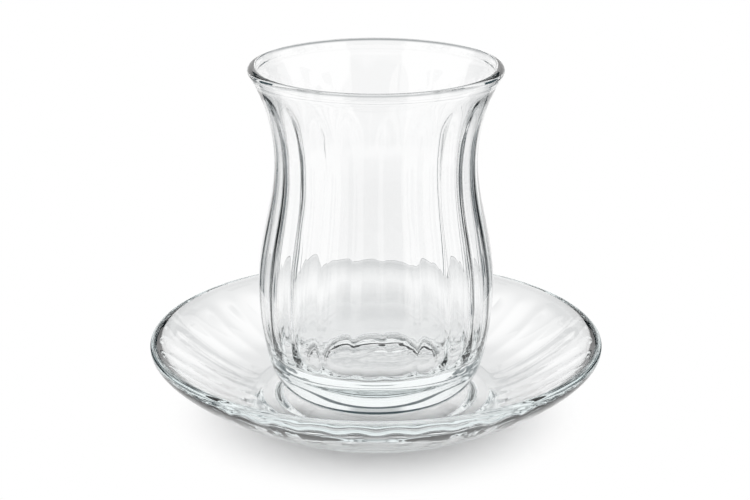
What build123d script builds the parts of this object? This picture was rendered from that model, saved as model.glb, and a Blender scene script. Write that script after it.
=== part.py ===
from build123d import *
from math import cos, pi, radians, sin
import os

# A waisted tea glass standing in the well of its saucer, both in clear pressed glass.
# Millimetres and degrees. +Z is up, and the origin is on the table under the common axis.
# Half sections are drawn as (radius, height). Their angles are measured from the outward
# radial direction, so 90 is straight up.

# Saucer
saucer_diameter = 120.0
saucer_height = 21.5        # table to the top of the rim
saucer_rim = 2.6            # thickness of the rounded rim
foot_radius = 29.7          # outer edge of the flat foot ring
foot_width = 2.0
foot_toe = 2.0              # rounding from the foot ring into the lower face
foot_slope_run = 3.4        # radial run of the slope inside the foot ring
foot_recess = 3.1           # height of the hollow inside the foot ring
well_thickness = 3.8
well_radius = 31.0          # edge of the flat seat for the glass
under_slope = 24.0          # lower face next to the foot
under_foot_reach = 17.0
under_rim_reach = 4.3
upper_slope = 40.0          # upper face next to the rim
upper_well_reach = 6.0
upper_rim_reach = 14.0
rib_count = 36              # shallow radial flutes in the upper face
rib_depth = 0.28            # measured along the radius
rib_turn = 0.0
rib_margin = 3.8            # smooth band between the flutes and the outer edge

# Glass
glass_height = 88.1         # standing ring to the top of the rim
rim_radius = 32.85          # outside of the rounded rim
rim_thickness = 2.5         # the rim is a round bead, thicker than the wall
rim_flare = 34.0            # outside of the wall next to the rim, from the vertical
rim_reach = 3.1
rim_wrap = 45.0             # how far the bead goes on round past the wall's slope, inside
collar_radius = 29.55       # inside, where the wall has its own thickness again
collar_drop = 4.3           # and how far that is below the top of the rim
collar_slope = 27.0         # wall there, from the vertical
collar_reach = 4.0
bead_reach = 1.0            # hollow between the wall and the bead
waist_radius = 26.42
waist_drop = 24.6           # narrowest place, below the top of the rim
waist_upper_reach = 11.4
waist_lower_reach = 12.5
neck_reach = 10.5           # inside, up from the waist
bulge_radius = 31.02
bulge_height = 28.8
bulge_upper_reach = 14.0
bulge_lower_reach = 8.8
shoulder_radius = 29.03     # lower end of the body, above the heavy base
shoulder_height = 10.9
shoulder_slope = 9.7        # wall at the shoulder, from the vertical
shoulder_reach = 5.2
shoulder_step = 0.35        # the base starts this much further in
shoulder_drop = 0.9         # and this much lower
standing_radius = 20.8      # outer edge of the ring that the glass stands on
standing_width = 2.0
heel_reach = 4.4            # along the table, from the standing ring
heel_rise_reach = 2.4       # down the side, from the shoulder
punt_depth = 1.2            # hollow under the base
waist_wall = 1.7            # thinnest glass, behind a flute
bulge_wall = 2.6
floor_height = 9.6          # standing ring to the inside floor
floor_radius = 14.5         # flat middle of the floor
floor_ring_slope = 9.0      # slope of the floor just outside that flat
floor_ring_reach = 3.0
corner_radius = 23.5        # inside, where the floor turns up into the wall
corner_rise = 1.7           # its height over the flat floor
corner_slope = 8.0
corner_floor_reach = 4.0
corner_wall_reach = 4.3
belly_reach = 9.8           # inside, down from the bulge
flute_count = 20            # shallow flutes down the inside of the wall and over the floor
flute_depth = 0.5           # in the wall
fan_depth = 0.8             # on the floor, measured along the radius
flute_turn = -31.0
flute_fade = 2.5            # height over which the flutes run out, below the collar
points_per_flute = 10       # on the outlines of both fluted faces

# Fit of the two pieces
seat_clearance = 0.0        # the glass stands face to face on the well

# Worked out from the sizes above
saucer_radius = saucer_diameter / 2
well_height = foot_recess + well_thickness
glass_base = well_height + seat_clearance


def polar(centre, distance, angle):
    """The point at a distance and an angle from another point."""
    return (
        centre[0] + distance * cos(radians(angle)),
        centre[1] + distance * sin(radians(angle)),
    )


def tangent_curve(start, start_angle, start_reach, end, end_angle, end_reach):
    """Control points of a cubic curve that leaves start and arrives at end in set directions."""
    return (
        start,
        polar(start, start_reach, start_angle),
        polar(end, -end_reach, end_angle),
        end,
    )


def between(start, end, share):
    return tuple(a + (b - a) * share for a, b in zip(start, end))


def split_curve(curve, share):
    """The control points of a cubic curve's two parts."""
    first = [between(curve[i], curve[i + 1], share) for i in range(3)]
    second = [between(first[i], first[i + 1], share) for i in range(2)]
    middle = between(*second, share)
    return (curve[0], first[0], second[0], middle), (middle, second[1], first[2], curve[3])


def point_on(curve, share):
    return split_curve(curve, share)[0][3]


def share_where(curve, axis, value):
    """Where a steadily rising coordinate of a curve reaches a value, from 0 to 1."""
    low, high = 0.0, 1.0
    for _ in range(40):
        middle = (low + high) / 2
        if point_on(curve, middle)[axis] < value:
            low = middle
        else:
            high = middle
    return low


def ease(share):
    """A smooth step from 0 to 1."""
    share = min(max(share, 0.0), 1.0)
    return share * share * (3 - 2 * share)


def fluted_outline(point, depth, count, turn):
    """A level outline of shallow hollows that meet at soft ridges, which point at the axis."""
    radius, height = point
    points = []
    for index in range(count * points_per_flute):
        share = index / points_per_flute
        inset = depth * (1 - abs(sin(pi * share)))
        points.append(polar((0, 0), radius - inset, turn - 90 + 360 * share / count))
    with BuildSketch(Plane.XY.offset(height)) as outline:
        with BuildLine():
            Spline(points, periodic=True)
        make_face()
    return outline.sketch


# Saucer

rim_centre = (saucer_radius - saucer_rim / 2, saucer_height - saucer_rim / 2)
rim_outside = polar(rim_centre, saucer_rim / 2, 0)
rim_inside = polar(rim_centre, saucer_rim / 2, upper_slope + 90)
toe_centre = (foot_radius, foot_toe)
toe_end = polar(toe_centre, foot_toe, under_slope - 90)
foot_inside = foot_radius - foot_width
recess_radius = foot_inside - foot_slope_run
under_face = tangent_curve(
    toe_end, under_slope, under_foot_reach, rim_outside, 90, under_rim_reach
)
upper_face = tangent_curve(
    (well_radius, well_height), 0, upper_well_reach, rim_inside, upper_slope, upper_rim_reach
)
fluted_face, plain_face = split_curve(
    upper_face, share_where(upper_face, 0, saucer_radius - rib_margin)
)
rib_sections = 9
rib_fade = 0.15             # share of the fluted face over which its flutes begin or end

with BuildPart() as saucer:
    with BuildSketch(Plane.XZ):
        with BuildLine():
            Line((0, foot_recess), (recess_radius, foot_recess))
            Bezier(
                *tangent_curve(
                    (recess_radius, foot_recess), 0, foot_slope_run / 2,
                    (foot_inside, 0), 0, foot_slope_run / 2,
                )
            )
            Line((foot_inside, 0), (foot_radius, 0))
            ThreePointArc(
                (foot_radius, 0), polar(toe_centre, foot_toe, under_slope / 2 - 90), toe_end
            )
            Bezier(*under_face)
            ThreePointArc(
                rim_outside, polar(rim_centre, saucer_rim / 2, upper_slope / 2 + 45), rim_inside
            )
            Bezier(*plain_face)
            Line(plain_face[0], (0, plain_face[0][1]))
            Line((0, plain_face[0][1]), (0, foot_recess))
        make_face()
    revolve(axis=Axis.Z)
    # The fluted face and the well are what is left under a stack of level outlines.
    rib_outlines = []
    for index in range(rib_sections + 1):
        share = index / rib_sections
        depth = rib_depth * ease(share / rib_fade) * ease((1 - share) / rib_fade)
        rib_outlines.append(
            fluted_outline(point_on(fluted_face, share), depth, rib_count, rib_turn)
        )
    loft(rib_outlines, mode=Mode.SUBTRACT)
saucer.part.label = "saucer"

# Glass


def above_seat(radius, height):
    """A point of the glass, whose heights start at its standing ring."""
    return radius, glass_base + height


lip_centre = above_seat(rim_radius - rim_thickness / 2, glass_height - rim_thickness / 2)
lip_outside = polar(lip_centre, rim_thickness / 2, -rim_flare)
lip_end = 180 - rim_flare + rim_wrap
lip_inside = polar(lip_centre, rim_thickness / 2, lip_end)
wall_at_rim = 90 - rim_flare
base_top = above_seat(shoulder_radius - shoulder_step, shoulder_height - shoulder_drop)
waist_height = glass_height - waist_drop

outside_curves = [
    tangent_curve(
        above_seat(standing_radius, 0), 0, heel_reach, base_top, 90, heel_rise_reach
    ),
    tangent_curve(
        above_seat(shoulder_radius, shoulder_height), 90 - shoulder_slope, shoulder_reach,
        above_seat(bulge_radius, bulge_height), 90, bulge_lower_reach,
    ),
    tangent_curve(
        above_seat(bulge_radius, bulge_height), 90, bulge_upper_reach,
        above_seat(waist_radius, waist_height), 90, waist_lower_reach,
    ),
    tangent_curve(
        above_seat(waist_radius, waist_height), 90, waist_upper_reach,
        lip_outside, wall_at_rim, rim_reach,
    ),
]

floor_ring = above_seat(floor_radius, floor_height)
corner = above_seat(corner_radius, floor_height + corner_rise)
belly = above_seat(bulge_radius - bulge_wall, bulge_height)
neck = above_seat(waist_radius - waist_wall, waist_height)
floor_curve = tangent_curve(
    floor_ring, floor_ring_slope, floor_ring_reach, corner, corner_slope, corner_floor_reach
)
corner_curve = tangent_curve(
    corner, corner_slope, corner_wall_reach, belly, 90, belly_reach
)
belly_curve = tangent_curve(belly, 90, bulge_upper_reach, neck, 90, waist_lower_reach)
collar = above_seat(collar_radius, glass_height - collar_drop)
mouth_curve = tangent_curve(neck, 90, neck_reach, collar, 90 - collar_slope, collar_reach)
bead_curve = tangent_curve(
    collar, 90 - collar_slope, bead_reach, lip_inside, lip_end - 90, bead_reach
)


def wall_depth(height):
    """Depth of a flute in the wall, which runs out below the collar."""
    return flute_depth * ease((collar[1] - height) / flute_fade)


with BuildPart() as tea_glass:
    with BuildSketch(Plane.XZ):
        with BuildLine():
            Bezier(
                *tangent_curve(
                    above_seat(0, punt_depth), 0, standing_radius / 2,
                    above_seat(standing_radius - standing_width, 0), -30, standing_width,
                )
            )
            Line(above_seat(standing_radius - standing_width, 0), above_seat(standing_radius, 0))
            for curve in outside_curves:
                Bezier(*curve)
            Line(base_top, above_seat(shoulder_radius, shoulder_height))
            ThreePointArc(
                lip_outside, polar(lip_centre, rim_thickness / 2, 90 - rim_flare), lip_inside
            )
            Bezier(*bead_curve)
            Line(collar, (0, collar[1]))
            Line((0, collar[1]), above_seat(0, punt_depth))
        make_face()
    revolve(axis=Axis.Z)
    # The fluted inside is a stack of level outlines, from the floor up to the collar.
    stack = []
    for index in range(4):
        share = index / 4
        stack.append((point_on(floor_curve, share), fan_depth * ease(share * 2)))
    for index in range(8):
        share = index / 8
        depth = fan_depth + (flute_depth - fan_depth) * ease(share * 1.5)
        stack.append((point_on(corner_curve, share), depth))
    for index in range(6):
        stack.append((point_on(belly_curve, index / 6), flute_depth))
    for share in (0, 0.17, 0.34, 0.5, 0.65, 0.76, 0.84, 0.92, 1):
        point = point_on(mouth_curve, share)
        stack.append((point, wall_depth(point[1])))
    loft(
        [fluted_outline(point, depth, flute_count, flute_turn) for point, depth in stack],
        mode=Mode.SUBTRACT,
    )
tea_glass.part.label = "tea_glass"

os.makedirs("parts", exist_ok=True)
export_step(saucer.part, "parts/saucer.step")
export_step(tea_glass.part, "parts/tea_glass.step")
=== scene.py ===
from math import cos, pi, radians, sin

import bpy
import numpy as np
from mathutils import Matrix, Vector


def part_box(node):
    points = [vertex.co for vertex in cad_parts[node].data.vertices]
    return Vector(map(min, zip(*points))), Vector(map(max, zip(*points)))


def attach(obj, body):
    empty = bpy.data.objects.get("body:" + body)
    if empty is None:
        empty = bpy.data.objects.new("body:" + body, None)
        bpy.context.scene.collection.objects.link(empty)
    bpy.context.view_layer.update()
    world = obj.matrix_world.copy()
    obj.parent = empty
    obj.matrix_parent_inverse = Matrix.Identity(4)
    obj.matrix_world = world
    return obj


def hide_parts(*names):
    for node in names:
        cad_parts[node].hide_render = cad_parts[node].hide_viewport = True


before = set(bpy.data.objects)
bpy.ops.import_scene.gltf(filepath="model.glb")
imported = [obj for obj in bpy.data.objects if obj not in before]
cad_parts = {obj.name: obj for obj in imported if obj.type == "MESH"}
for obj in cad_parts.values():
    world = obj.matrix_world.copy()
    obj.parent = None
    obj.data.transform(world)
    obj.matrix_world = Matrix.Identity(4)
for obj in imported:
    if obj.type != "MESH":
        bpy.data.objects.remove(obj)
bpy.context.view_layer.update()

# A clear tea glass on its clear saucer, on a white studio sweep. Sizes whose names end in _mm are
# in millimetres, the others in metres. Half sections are drawn in millimetres as (radius, height),
# and their angles are in degrees from the outward radial direction, so 90 is straight up.
MM = 0.001
_, saucer_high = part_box("saucer")
glass_low, glass_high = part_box("tea_glass")

# ---- Sizes shared with the CAD model ----

saucer_radius_mm = saucer_high.x / MM
saucer_height_mm = saucer_high.z / MM
saucer_rim_mm = 2.6             # thickness of the rounded rim
foot_radius_mm = 29.7           # outer edge of the flat foot ring
foot_width_mm = 2.0
foot_toe_mm = 2.0               # rounding from the foot ring into the lower face
foot_slope_run_mm = 3.4         # radial run of the slope inside the foot ring
foot_recess_mm = 3.1            # height of the hollow inside the foot ring
well_radius_mm = 31.0           # edge of the flat seat for the glass
under_slope = 24.0              # lower face next to the foot
under_foot_reach_mm = 17.0
under_rim_reach_mm = 4.3
upper_slope = 40.0              # upper face next to the rim
upper_well_reach_mm = 6.0
upper_rim_reach_mm = 14.0
rib_count = 36                  # shallow radial flutes in the upper face
rib_depth_mm = 0.28
rib_turn = 0.0
rib_margin_mm = 3.8             # smooth band between the flutes and the outer edge

glass_base_mm = glass_low.z / MM
glass_height_mm = (glass_high.z - glass_low.z) / MM
rim_radius_mm = glass_high.x / MM
rim_thickness_mm = 2.5          # the rim is a round bead, thicker than the wall
rim_flare = 34.0                # outside of the wall next to the rim, from the vertical
rim_reach_mm = 3.1
rim_wrap = 45.0                 # how far the bead goes on round past the wall's slope, inside
collar_radius_mm = 29.55        # inside, where the wall has its own thickness again
collar_drop_mm = 4.3            # and how far that is below the top of the rim
collar_slope = 27.0             # wall there, from the vertical
collar_reach_mm = 4.0
bead_reach_mm = 1.0             # hollow between the wall and the bead
waist_radius_mm = 26.42
waist_drop_mm = 24.6            # narrowest place, below the top of the rim
waist_upper_reach_mm = 11.4
waist_lower_reach_mm = 12.5
neck_reach_mm = 10.5            # inside, up from the waist
bulge_radius_mm = 31.02
bulge_height_mm = 28.8
bulge_upper_reach_mm = 14.0
bulge_lower_reach_mm = 8.8
shoulder_radius_mm = 29.03      # lower end of the body, above the heavy base
shoulder_height_mm = 10.9
shoulder_slope = 9.7            # wall at the shoulder, from the vertical
shoulder_reach_mm = 5.2
shoulder_step_mm = 0.35         # the base starts this much further in
shoulder_drop_mm = 0.9          # and this much lower
standing_radius_mm = 20.8       # outer edge of the ring that the glass stands on
standing_width_mm = 2.0
heel_reach_mm = 4.4             # along the table, from the standing ring
heel_rise_reach_mm = 2.4        # down the side, from the shoulder
punt_depth_mm = 1.2             # hollow under the base
punt_slope = 30.0               # of that hollow, next to the standing ring
waist_wall_mm = 1.7
bulge_wall_mm = 2.6
floor_height_mm = 9.6           # standing ring to the inside floor
floor_radius_mm = 14.5          # flat middle of the floor
floor_ring_slope = 9.0          # slope of the floor just outside that flat
floor_ring_reach_mm = 3.0
corner_radius_mm = 23.5         # inside, where the floor turns up into the wall
corner_rise_mm = 1.7            # its height over the flat floor
corner_slope = 8.0
corner_floor_reach_mm = 4.0
corner_wall_reach_mm = 4.3
belly_reach_mm = 9.8            # inside, down from the bulge
flute_count = 20                # shallow flutes down the inside of the wall and over the floor
flute_depth_mm = 0.5            # in the wall
fan_depth_mm = 0.8              # on the floor
flute_turn = -31.0              # in degrees round the axis, as rib_turn is

# ---- Sizes of the visual model alone ----

air_film_mm = 0.02              # under the standing ring, or the two skins would coincide
rib_start_mm = 4.0              # over which the saucer's flutes begin, outside the well
rib_end_mm = 3.0                # and over which they run out
flute_fade_mm = 9.0             # over which the flutes run out softly, below the collar
fan_start_mm = 1.0              # where the fan begins, outside the flat middle of the floor
fan_rise_mm = 8.0               # and over which it grows to its full depth
fan_end_mm = 3.5                # over which the fan passes into the flutes, past the corner
fan_top_mm = 16.0               # height above which all is wall
waves_fade_mm = 12.0            # over which the waves in the wall begin, below the collar
dents_fade_mm = 4.0             # over which the dents in the floor run out, inside the corner
columns_per_rib = 10
columns_per_flute = 16


# ---- Half sections ----

def polar(centre, distance, angle):
    """The point at a distance and an angle from another point."""
    return (
        centre[0] + distance * cos(radians(angle)),
        centre[1] + distance * sin(radians(angle)),
    )


def tangent_curve(start, start_angle, start_reach, end, end_angle, end_reach):
    """Control points of a cubic curve that leaves start and arrives at end in set directions."""
    return start, polar(start, start_reach, start_angle), polar(end, -end_reach, end_angle), end


def curve_points(curve, count):
    """Evenly spread places on a cubic curve, without its last point."""
    t = np.linspace(0, 1, count, endpoint=False)[:, None]
    a, b, c, d = (np.array(point) for point in curve)
    return (1 - t) ** 3 * a + 3 * t * (1 - t) ** 2 * b + 3 * t * t * (1 - t) * c + t ** 3 * d


def arc_points(centre, radius, start, end, count):
    """Places on an arc from one angle to another, without its last point."""
    return np.array([
        polar(centre, radius, start + (end - start) * index / count) for index in range(count)
    ])


def line_points(start, end, count):
    """Places on a straight line, without its last point."""
    share = np.linspace(0, 1, count, endpoint=False)[:, None]
    return np.array(start) + (np.array(end) - np.array(start)) * share


def ease(share):
    """A smooth step from 0 to 1."""
    share = np.clip(share, 0.0, 1.0)
    return share * share * (3 - 2 * share)


# ---- Turned and fluted meshes ----

def soft_ridge(angle, count, turn, softness=0.06):
    """1 on the soft ridges between flutes and 0 in the middle of their hollows."""
    wave = np.sin((angle - radians(turn)) * count / 2)
    sharp = np.sqrt(wave * wave + softness * softness)
    top = np.sqrt(1 + softness * softness)
    return (top - sharp) / (top - softness)


def turned_mesh(name, rows, insets, ridge, columns, shift):
    """A closed skin round a half section that starts and ends on the axis.

    rows are (radius, height) in mm, insets say how far each row moves in where ridge(angle) is 1,
    and shift(radius, height, angle, inset) adds a small unevenness."""
    angle = np.linspace(0, 2 * pi, columns, endpoint=False)
    inner = rows[1:-1]
    radius = inner[:, 0][:, None] - insets[1:-1][:, None] * ridge(angle)[None, :]
    height = np.repeat(inner[:, 1][:, None], columns, axis=1)
    radius, height = shift(radius, height, angle[None, :], insets[1:-1][:, None])
    x = radius * np.sin(angle)
    y = -radius * np.cos(angle)
    vertices = np.stack([x, y, height], axis=-1).reshape(-1, 3)
    vertices = np.vstack([[0, 0, rows[0][1]], vertices, [0, 0, rows[-1][1]]]) * MM
    count = len(inner)
    last = len(vertices) - 1
    faces = []
    for column in range(columns):
        beside = (column + 1) % columns
        faces.append((0, 1 + beside, 1 + column))
        for row in range(count - 1):
            low, high = 1 + row * columns, 1 + (row + 1) * columns
            faces.append((low + column, low + beside, high + beside, high + column))
        top = 1 + (count - 1) * columns
        faces.append((top + column, top + beside, last))
    mesh = bpy.data.meshes.new(name)
    mesh.from_pydata(vertices.tolist(), [], faces)
    mesh.validate()
    mesh.shade_smooth()
    piece = bpy.data.objects.new(name, mesh)
    bpy.context.scene.collection.objects.link(piece)
    return piece


def waves(seed, count, amplitude_mm, around, along_mm):
    """A few fixed sine waves round and up a piece; around and along_mm are their ranges."""
    draw = np.random.default_rng(seed)
    turns = draw.integers(around[0], around[1] + 1, count)
    lengths = draw.uniform(along_mm[0], along_mm[1], count)
    phases = draw.uniform(0, 2 * pi, count)

    def height_at(angle, along):
        total = 0.0
        for turn, length, phase in zip(turns, lengths, phases):
            total = total + np.sin(turn * angle + 2 * pi * along / length + phase)
        return total * amplitude_mm / count ** 0.5

    return height_at


def ripples(seed, count, amplitude_mm, lengths_mm):
    """A few fixed sine waves over a level face, mostly from front to back."""
    draw = np.random.default_rng(seed)
    spread = 0.5
    lengths = draw.uniform(lengths_mm[0], lengths_mm[1], count)
    headings = draw.normal(0, spread, count)
    phases = draw.uniform(0, 2 * pi, count)

    def height_at(x, y):
        total = 0.0
        for length, heading, phase in zip(lengths, headings, phases):
            along = x * sin(heading) + y * cos(heading)
            total = total + np.sin(2 * pi * along / length + phase)
        return total * amplitude_mm / count ** 0.5

    return height_at


# ---- The saucer ----

def build_saucer():
    rim_centre = (saucer_radius_mm - saucer_rim_mm / 2, saucer_height_mm - saucer_rim_mm / 2)
    rim_outside = polar(rim_centre, saucer_rim_mm / 2, 0)
    rim_inside = polar(rim_centre, saucer_rim_mm / 2, upper_slope + 90)
    toe_centre = (foot_radius_mm, foot_toe_mm)
    toe_end = polar(toe_centre, foot_toe_mm, under_slope - 90)
    foot_inside = (foot_radius_mm - foot_width_mm, 0)
    recess = (foot_inside[0] - foot_slope_run_mm, foot_recess_mm)
    half_run = foot_slope_run_mm / 2
    well_edge = (well_radius_mm, glass_base_mm)
    well_middle = (0, glass_base_mm)
    under_face = tangent_curve(
        toe_end, under_slope, under_foot_reach_mm, rim_outside, 90, under_rim_reach_mm)
    upper_face = tangent_curve(
        well_edge, 0, upper_well_reach_mm, rim_inside, upper_slope, upper_rim_reach_mm)
    under = np.vstack([
        line_points((0, foot_recess_mm), recess, 10),
        curve_points(tangent_curve(recess, 0, half_run, foot_inside, 0, half_run), 12),
        line_points(foot_inside, (foot_radius_mm, 0), 4),
        arc_points(toe_centre, foot_toe_mm, -90, under_slope - 90, 5),
        curve_points(under_face, 44),
        arc_points(rim_centre, saucer_rim_mm / 2, 0, upper_slope + 90, 20),
    ])
    # The upper face is drawn from the well out and turned round, to follow the rim inwards.
    upper = curve_points(upper_face, 90)[::-1]
    well = np.vstack([line_points(well_edge, well_middle, 12), [well_middle]])
    rows = np.vstack([under, upper, well])

    radius = upper[:, 0]
    rib_limit = saucer_radius_mm - rib_margin_mm
    fade = ease((rib_limit - radius) / rib_end_mm) * ease((radius - well_radius_mm) / rib_start_mm)
    insets = np.concatenate([np.zeros(len(under)), rib_depth_mm * fade, np.zeros(len(well))])
    uneven = waves(seed=5, count=9, amplitude_mm=0.012, around=(2, 6), along_mm=(14, 40))
    whole_from = 0.3 * rib_depth_mm

    def shift(r, z, angle, inset):
        """The fluted face alone is uneven, and wholly so once its flutes are this deep."""
        return r, z + uneven(angle, r) * ease(inset / whole_from)

    def ridge(angle):
        return soft_ridge(angle, rib_count, rib_turn)

    return turned_mesh("saucer_glass", rows, insets, ridge, rib_count * columns_per_rib, shift)


# ---- The glass ----

def above_seat(radius, height):
    """A point of the glass, whose heights start at its standing ring."""
    return radius, glass_base_mm + height


def build_glass():
    half_rim = rim_thickness_mm / 2
    lip_centre = above_seat(rim_radius_mm - half_rim, glass_height_mm - half_rim)
    lip_end = 180 - rim_flare + rim_wrap
    lip_outside = polar(lip_centre, half_rim, -rim_flare)
    lip_inside = polar(lip_centre, half_rim, lip_end)
    wall_at_rim = 90 - rim_flare
    wall_at_collar = 90 - collar_slope
    waist_height = glass_height_mm - waist_drop_mm
    waist = above_seat(waist_radius_mm, waist_height)
    bulge = above_seat(bulge_radius_mm, bulge_height_mm)
    shoulder = above_seat(shoulder_radius_mm, shoulder_height_mm)
    base_top = above_seat(
        shoulder_radius_mm - shoulder_step_mm, shoulder_height_mm - shoulder_drop_mm)
    ring_inside = above_seat(standing_radius_mm - standing_width_mm, air_film_mm)
    ring_outside = above_seat(standing_radius_mm, air_film_mm)
    collar = above_seat(collar_radius_mm, glass_height_mm - collar_drop_mm)
    neck = above_seat(waist_radius_mm - waist_wall_mm, waist_height)
    belly = above_seat(bulge_radius_mm - bulge_wall_mm, bulge_height_mm)
    corner = above_seat(corner_radius_mm, floor_height_mm + corner_rise_mm)
    floor_ring = above_seat(floor_radius_mm, floor_height_mm)
    floor_middle = above_seat(0, floor_height_mm)

    outside = np.vstack([
        curve_points(tangent_curve(
            above_seat(0, punt_depth_mm), 0, standing_radius_mm / 2,
            ring_inside, -punt_slope, standing_width_mm), 20),
        line_points(ring_inside, ring_outside, 4),
        curve_points(tangent_curve(
            ring_outside, 0, heel_reach_mm, base_top, 90, heel_rise_reach_mm), 24),
        curve_points(tangent_curve(
            shoulder, 90 - shoulder_slope, shoulder_reach_mm, bulge, 90, bulge_lower_reach_mm), 20),
        curve_points(tangent_curve(
            bulge, 90, bulge_upper_reach_mm, waist, 90, waist_lower_reach_mm), 30),
        curve_points(tangent_curve(
            waist, 90, waist_upper_reach_mm, lip_outside, wall_at_rim, rim_reach_mm), 30),
        arc_points(lip_centre, half_rim, -rim_flare, lip_end, 30),
    ])
    # The inside is drawn from the floor up and turned round, to follow the lip down.
    inside = np.vstack([
        curve_points(tangent_curve(
            floor_ring, floor_ring_slope, floor_ring_reach_mm,
            corner, corner_slope, corner_floor_reach_mm), 14),
        curve_points(tangent_curve(
            corner, corner_slope, corner_wall_reach_mm, belly, 90, belly_reach_mm), 26),
        curve_points(tangent_curve(
            belly, 90, bulge_upper_reach_mm, neck, 90, waist_lower_reach_mm), 30),
        curve_points(tangent_curve(
            neck, 90, neck_reach_mm, collar, wall_at_collar, collar_reach_mm), 36),
        curve_points(tangent_curve(
            collar, wall_at_collar, bead_reach_mm, lip_inside, lip_end - 90, bead_reach_mm), 10),
    ])[::-1]
    floor = np.vstack([line_points(floor_ring, floor_middle, 30)[1:], [floor_middle]])
    rows = np.vstack([outside, inside, floor])

    # Flutes run out below the rim, and widen over the floor as a fan.
    radius = inside[:, 0]
    height = inside[:, 1] - glass_base_mm
    flute_top = glass_height_mm - collar_drop_mm
    wall = flute_depth_mm * ease((flute_top - height) / flute_fade_mm)
    fan = fan_depth_mm * ease((radius - floor_radius_mm - fan_start_mm) / fan_rise_mm)
    past_corner = ease((corner_radius_mm + fan_end_mm - radius) / fan_end_mm)
    on_floor = past_corner * (height < fan_top_mm)
    fluted = wall + (fan - wall) * on_floor
    insets = np.concatenate([np.zeros(len(outside)), fluted, np.zeros(len(floor))])

    wall_waves = waves(seed=11, count=12, amplitude_mm=0.03, around=(2, 16), along_mm=(9, 40))
    dents = ripples(seed=23, count=9, amplitude_mm=0.025, lengths_mm=(3.0, 9.0))

    def shift(r, z, angle, inset):
        """Waves in the inside of the wall, less near the rim, and dents in the floor."""
        is_inside = np.arange(len(r))[:, None] + 1 >= len(outside)
        below_rim = ease((glass_base_mm + flute_top - z) / waves_fade_mm)
        in_wall = np.where(is_inside, wall_waves(angle, z) * below_rim, 0.0)
        r = r + in_wall * (r > corner_radius_mm)
        x, y = r * np.sin(angle), -r * np.cos(angle)
        in_floor = ease((corner_radius_mm - r) / dents_fade_mm) * is_inside
        return r, z + dents(x, y) * in_floor

    def ridge(angle):
        return soft_ridge(angle, flute_count, flute_turn)

    return turned_mesh(
        "glass_body", rows, insets, ridge, flute_count * columns_per_flute, shift)


# ---- Materials ----

def glass_material():
    """Clear soda-lime glass, faintly blue-green where it is thick."""
    material = bpy.data.materials.new("clear_glass")
    material.use_nodes = True
    nodes, links = material.node_tree.nodes, material.node_tree.links
    shader = nodes["Principled BSDF"]
    shader.inputs["Base Color"].default_value = (1.0, 1.0, 1.0, 1.0)
    shader.inputs["Roughness"].default_value = 0.0
    shader.inputs["IOR"].default_value = 1.5
    shader.inputs["Transmission Weight"].default_value = 1.0
    absorb = nodes.new("ShaderNodeVolumeAbsorption")
    absorb.inputs["Color"].default_value = (0.55, 0.86, 0.88, 1.0)
    absorb.inputs["Density"].default_value = 2.0
    links.new(absorb.outputs["Volume"], nodes["Material Output"].inputs["Volume"])
    return material


# ---- Studio ----

class Graph:
    """Short ways to add linked nodes to a tree."""

    def __init__(self, tree):
        self.tree = tree
        tree.nodes.clear()

    def node(self, kind, **settings):
        node = self.tree.nodes.new(kind)
        for name, value in settings.items():
            setattr(node, name, value)
        return node

    def feed(self, socket, value):
        """Set a socket to a number, or link it to another node's output."""
        if isinstance(value, (int, float)):
            socket.default_value = value
        else:
            self.tree.links.new(value, socket)

    def math(self, operation, *values):
        node = self.node("ShaderNodeMath", operation=operation)
        for socket, value in zip(node.inputs, values):
            self.feed(socket, value)
        return node.outputs[0]

    def step(self, value, low, high):
        """A smooth step from 0 at low to 1 at high."""
        node = self.node("ShaderNodeMapRange", interpolation_type="SMOOTHSTEP")
        for socket, number in zip(node.inputs[:3], (value, low, high)):
            self.feed(socket, number)
        return node.outputs[0]

    def mix(self, share, first, second):
        """first where share is 0, second where it is 1."""
        node = self.node("ShaderNodeMix", data_type="FLOAT")
        self.feed(node.inputs["Factor"], share)
        self.feed(node.inputs[2], first)
        self.feed(node.inputs[3], second)
        return node.outputs[0]

    def ramp(self, share, stops, joined):
        """Brightness from (share, value) stops, as a line through them or as steps."""
        node = self.node("ShaderNodeValToRGB")
        node.color_ramp.interpolation = "LINEAR" if joined else "CONSTANT"
        elements = node.color_ramp.elements
        elements[0].position, elements[1].position = stops[0][0], stops[-1][0]
        for place, _ in stops[1:-1]:
            elements.new(place)
        for element, (_, value) in zip(elements, stops):
            element.color = (value, value, value, 1.0)
        self.feed(node.inputs[0], share)
        return node.outputs[0]

    def turn(self, x, y):
        """How far a direction is turned from +Y, to either side, in radians."""
        return self.math("ABSOLUTE", self.math("ARCTAN2", x, y))

    def dial(self, x, y, flags, dark):
        """White all round, but dark between each pair of angles to the right of +Y."""
        share = self.math("MULTIPLY_ADD", self.math("ARCTAN2", x, y), 0.5 / pi, 0.5)
        stops = [(-180, 1.0)]
        for start, end in flags:
            stops += [(start, dark), (end, 1.0)]
        return self.ramp(share, [(0.5 + angle / 360, value) for angle, value in stops], False)

    def room(self, x, y):
        """Dark towards -Y, where the studio is unlit, and white elsewhere."""
        edges = [radians(angle) for angle in room_edges]
        return self.mix(self.step(self.turn(x, y), *edges), 1.0, black_level)

    def ladder(self, z, stops):
        """Brightness by height: stops are (degrees over the horizon, value)."""
        return self.ramp(z, [(sin(radians(angle)), value) for angle, value in stops], True)


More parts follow.
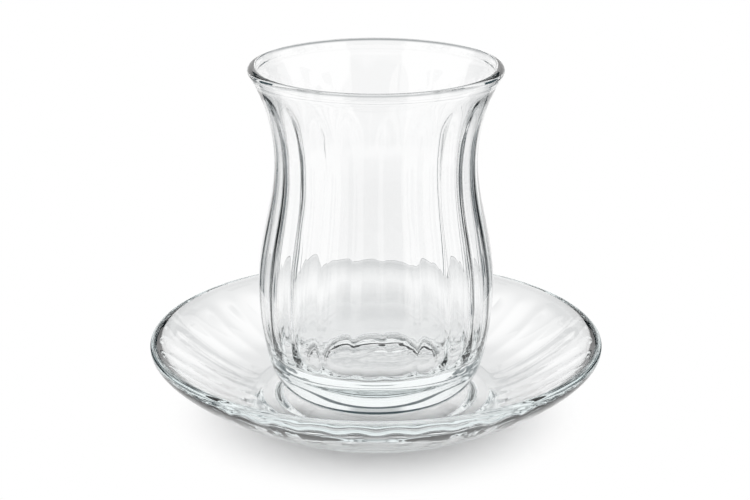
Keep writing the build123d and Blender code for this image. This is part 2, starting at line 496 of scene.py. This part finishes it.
# The set that the glass sees, in degrees from +Y, positive to the right. Round a white sweep
# stand black flags, which draw the edges of clear glass: each reaches from one angle to another.
# Refracted rays see side_flags, and mirrored ones see mirror_flags. On the floor all of them are
# painted as dark flags, with two more low ones painted there too.
# Beyond room_edges, towards -Y, the studio is dark. Rays from the camera see plain white.
side_flags = [
    (-128, -122), (-114, -105), (-72, -49), (-41, -34), (34, 62), (92, 108), (118, 124),
]
painted_floor_flags = [(-33, -29), (24, 29)]
mirror_flags = [(-70, -34), (34, 70)]
room_edges = (150, 152)
black_level = 0.02
mirror_level = 0.1
dark_tint = (0.003, 0.03, 0.042)        # the colour of whatever is black

# Heights in the world, as the sine of the angle over the horizon.
flag_tops = (0.345, 0.355)
box_bottom = (0.6, 0.7)                 # the overhead box is white all round

# Dark gaps between the backdrop and the overhead box, as (degrees over the horizon, value).
gap_stops = [
    (17.0, 1.0), (17.3, 0.02), (21.8, 0.02), (22.0, 1.0), (23.5, 1.0), (23.7, 0.05),
    (24.9, 0.05), (25.1, 1.0),
]
gap_ends = (60, 75)                     # angles from +Y over which the gaps end
panel_stops = [(21.5, 1.0), (21.9, 0.6), (24.9, 0.6), (25.2, 1.0)]
panel_ends = (8, 14)                    # a grey panel hangs straight behind

# The light on the floor: its level at the horizon, and what is added to that overhead.
side_light, top_light = 0.3, 2.1


def studio_world():
    world = bpy.data.worlds.new("studio")
    world.use_nodes = True
    bpy.context.scene.world = world
    graph = Graph(world.node_tree)
    direction = graph.node("ShaderNodeTexCoord").outputs["Generated"]
    split = graph.node("ShaderNodeSeparateXYZ")
    graph.feed(split.inputs[0], direction)
    x, y, z = split.outputs
    turn = graph.turn(x, y)
    beside_panel = graph.step(turn, radians(panel_ends[0]), radians(panel_ends[1]))
    panel = graph.mix(beside_panel, graph.ladder(z, panel_stops), 1.0)
    gaps = graph.math("MULTIPLY", graph.ladder(z, gap_stops), panel)
    gaps = graph.mix(graph.step(turn, radians(gap_ends[0]), radians(gap_ends[1])), gaps, 1.0)
    in_box = graph.step(z, *box_bottom)
    around = graph.math("MULTIPLY", graph.mix(in_box, graph.room(x, y), 1.0), gaps)
    flags = graph.dial(x, y, side_flags, black_level)
    through = graph.mix(graph.step(z, *flag_tops), flags, 1.0)
    through = graph.math("MULTIPLY", through, around)
    mirror = graph.mix(in_box, graph.dial(x, y, mirror_flags, mirror_level), 1.0)
    mirror = graph.math("MULTIPLY", mirror, around)
    path = graph.node("ShaderNodeLightPath")
    level = graph.mix(path.outputs["Is Glossy Ray"], 1.0, mirror)
    level = graph.mix(path.outputs["Is Transmission Ray"], level, through)
    level = graph.mix(path.outputs["Is Camera Ray"], level, 1.0)
    # The floor is lit from overhead, so that the object's shadow is soft and close to it.
    overhead = graph.math("POWER", graph.math("MAXIMUM", z, 0.0), 4.0)
    overhead = graph.math("MULTIPLY_ADD", overhead, top_light, side_light)
    lighting = graph.math("GREATER_THAN", path.outputs["Diffuse Depth"], 0.5)
    level = graph.mix(lighting, level, overhead)
    colour = graph.node("ShaderNodeCombineColor")
    for socket, tint in zip(colour.inputs, dark_tint):
        tinted = graph.math("MULTIPLY_ADD", level, 1.0 - tint, tint)
        graph.feed(socket, graph.math("MAXIMUM", level, tinted))
    background = graph.node("ShaderNodeBackground")
    graph.feed(background.inputs["Color"], colour.outputs[0])
    output = graph.node("ShaderNodeOutputWorld")
    graph.feed(output.inputs["Surface"], background.outputs[0])


# Distances on the floor from the glass's axis, each as where a change begins and ends.
open_floor = (0.027, 0.057)             # out to which the floor is lit and keeps the shadow
painted_flag_feet = (0.07, 0.12)                # from which it carries the painted dark flags
painted_room_shade_feet = (0.12, 0.16)                # and from which it is painted dark towards -Y, painted shade of the unlit room

# Seen through the glass, the floor has a painted reflection of the white backdrop: it is painted
# white at a low angle, and painted greyer from above. These are values of Layer Weight's Facing,
# and the share of light that is left from above, near the foot of the object and further out than
# the flags' feet.
near_painted_sheen, near_painted_grey = (0.52, 0.68), 0.83
far_painted_sheen, far_painted_grey = (0.3, 0.66), 0.3
painted_flag_facing = (0.615, 0.665)             # the painted flags show only at a low angle, as a painted reflection

# Through the glass, the half of the floor towards +Y mostly glows, as if it had no shadow.
far_half = (-0.02, 0.0)
far_glow = 0.85


def studio_floor():
    """A white sweep that keeps the object's shadow. Through the glass and in reflections it carries
    painted dark flags and painted shade of the unlit room, and through the glass a painted
    reflection of the backdrop.
    """
    reach = 4.0
    below = 0.00003
    mesh = bpy.data.meshes.new("floor")
    mesh.from_pydata(
        [(-reach, -reach, -below), (reach, -reach, -below),
         (reach, reach, -below), (-reach, reach, -below)], [], [(0, 1, 2, 3)])
    floor = bpy.data.objects.new("floor", mesh)
    bpy.context.scene.collection.objects.link(floor)
    material = bpy.data.materials.new("white_sweep")
    material.use_nodes = True
    mesh.materials.append(material)
    graph = Graph(material.node_tree)
    place = graph.node("ShaderNodeNewGeometry").outputs["Position"]
    split = graph.node("ShaderNodeSeparateXYZ")
    graph.feed(split.inputs[0], place)
    x, y = split.outputs[:2]
    squares = graph.math("MULTIPLY", x, x), graph.math("MULTIPLY", y, y)
    away = graph.math("SQRT", graph.math("ADD", *squares))
    facing = graph.node("ShaderNodeLayerWeight").outputs["Facing"]
    path = graph.node("ShaderNodeLightPath")

    # Painted reflection: the floor is painted lighter where it is seen at a low angle.
    def painted_reflection_by_facing(angles, grey):
        return graph.math("MULTIPLY_ADD", graph.step(facing, *angles), 1.0 - grey, grey)

    beyond = graph.step(away, *painted_flag_feet)
    # Far out towards -Y, the floor seen through the glass and in reflections is painted dark:
    # painted shade of the unlit room.
    room = graph.mix(graph.step(away, *painted_room_shade_feet), 1.0, graph.room(x, y))
    # Through the glass the floor gets a painted reflection of the white backdrop, near the foot and
    # further out.
    painted_sheen = graph.mix(beyond, painted_reflection_by_facing(near_painted_sheen, near_painted_grey), painted_reflection_by_facing(far_painted_sheen, far_painted_grey))
    # Painted dark flags on the floor, seen through the glass only at a low angle, as a painted
    # reflection.
    flags = graph.dial(x, y, sorted(side_flags + painted_floor_flags), black_level)
    painted_flag_reflection = graph.math("MULTIPLY", beyond, graph.step(facing, *painted_flag_facing))
    through = graph.math("MULTIPLY", graph.mix(painted_flag_reflection, 1.0, flags), painted_sheen)
    through = graph.math("MULTIPLY", through, room)
    # In reflections from the glass, the floor far out carries the mirror flags as painted dark
    # sectors, with the painted room shade.
    mirror = graph.mix(beyond, 1.0, graph.dial(x, y, mirror_flags, mirror_level))
    mirror = graph.math("MULTIPLY", mirror, room)
    level = graph.mix(path.outputs["Is Glossy Ray"], 1.0, mirror)
    level = graph.mix(path.outputs["Is Transmission Ray"], level, through)
    level = graph.mix(path.outputs["Is Camera Ray"], level, 1.0)
    # The floor glows white, but round the foot of the object it is lit instead, and so keeps
    # the shadow.
    glow = graph.node("ShaderNodeEmission")
    lit = graph.node("ShaderNodeBsdfDiffuse")
    lit.inputs["Color"].default_value = (1.0, 1.0, 1.0, 1.0)
    behind = graph.math("MULTIPLY", graph.step(y, *far_half), far_glow)
    lit_through = graph.math("MULTIPLY", path.outputs["Is Transmission Ray"], behind)
    white = graph.node("ShaderNodeMixShader")
    share = graph.math("MAXIMUM", graph.step(away, *open_floor), lit_through)
    graph.feed(white.inputs[0], share)
    graph.feed(white.inputs[1], lit.outputs[0])
    graph.feed(white.inputs[2], glow.outputs[0])
    # The dark colour that the painted flags, the painted room shade and the grey of the painted
    # reflection mix towards.
    black = graph.node("ShaderNodeEmission")
    black.inputs["Color"].default_value = (*dark_tint, 1.0)
    shown = graph.node("ShaderNodeMixShader")
    graph.feed(shown.inputs[0], level)
    graph.feed(shown.inputs[1], black.outputs[0])
    graph.feed(shown.inputs[2], white.outputs[0])
    output = graph.node("ShaderNodeOutputMaterial")
    graph.feed(output.inputs["Surface"], shown.outputs[0])


def studio_camera():
    """A long lens over the glass, looking down a little along +Y."""
    aside, distance, height = -0.00026, 0.4795, 0.2057
    down = 18.53
    lens_per_width = 1920 / 750
    data = bpy.data.cameras.new("camera")
    data.sensor_width = 36.0
    data.lens = data.sensor_width * lens_per_width
    data.clip_start = 0.01
    camera = bpy.data.objects.new("camera", data)
    camera.location = (aside, -distance, height)
    camera.rotation_euler = (radians(90 - down), 0, 0)
    bpy.context.scene.collection.objects.link(camera)
    bpy.context.scene.camera = camera


# ---- The scene ----

glass = glass_material()
saucer = build_saucer()
tea_glass = build_glass()
for piece, node in ((saucer, "saucer"), (tea_glass, "tea_glass")):
    piece.data.materials.append(glass)
    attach(piece, "root")
    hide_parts(node)

studio_world()
studio_floor()
studio_camera()

scene = bpy.context.scene
scene.view_settings.view_transform = "Standard"
# Light that goes round inside the glass for longer than this is lost, which draws dark edges.
bounces = 12
scene.cycles.max_bounces = bounces
scene.cycles.transmission_bounces = bounces
scene.cycles.glossy_bounces = bounces
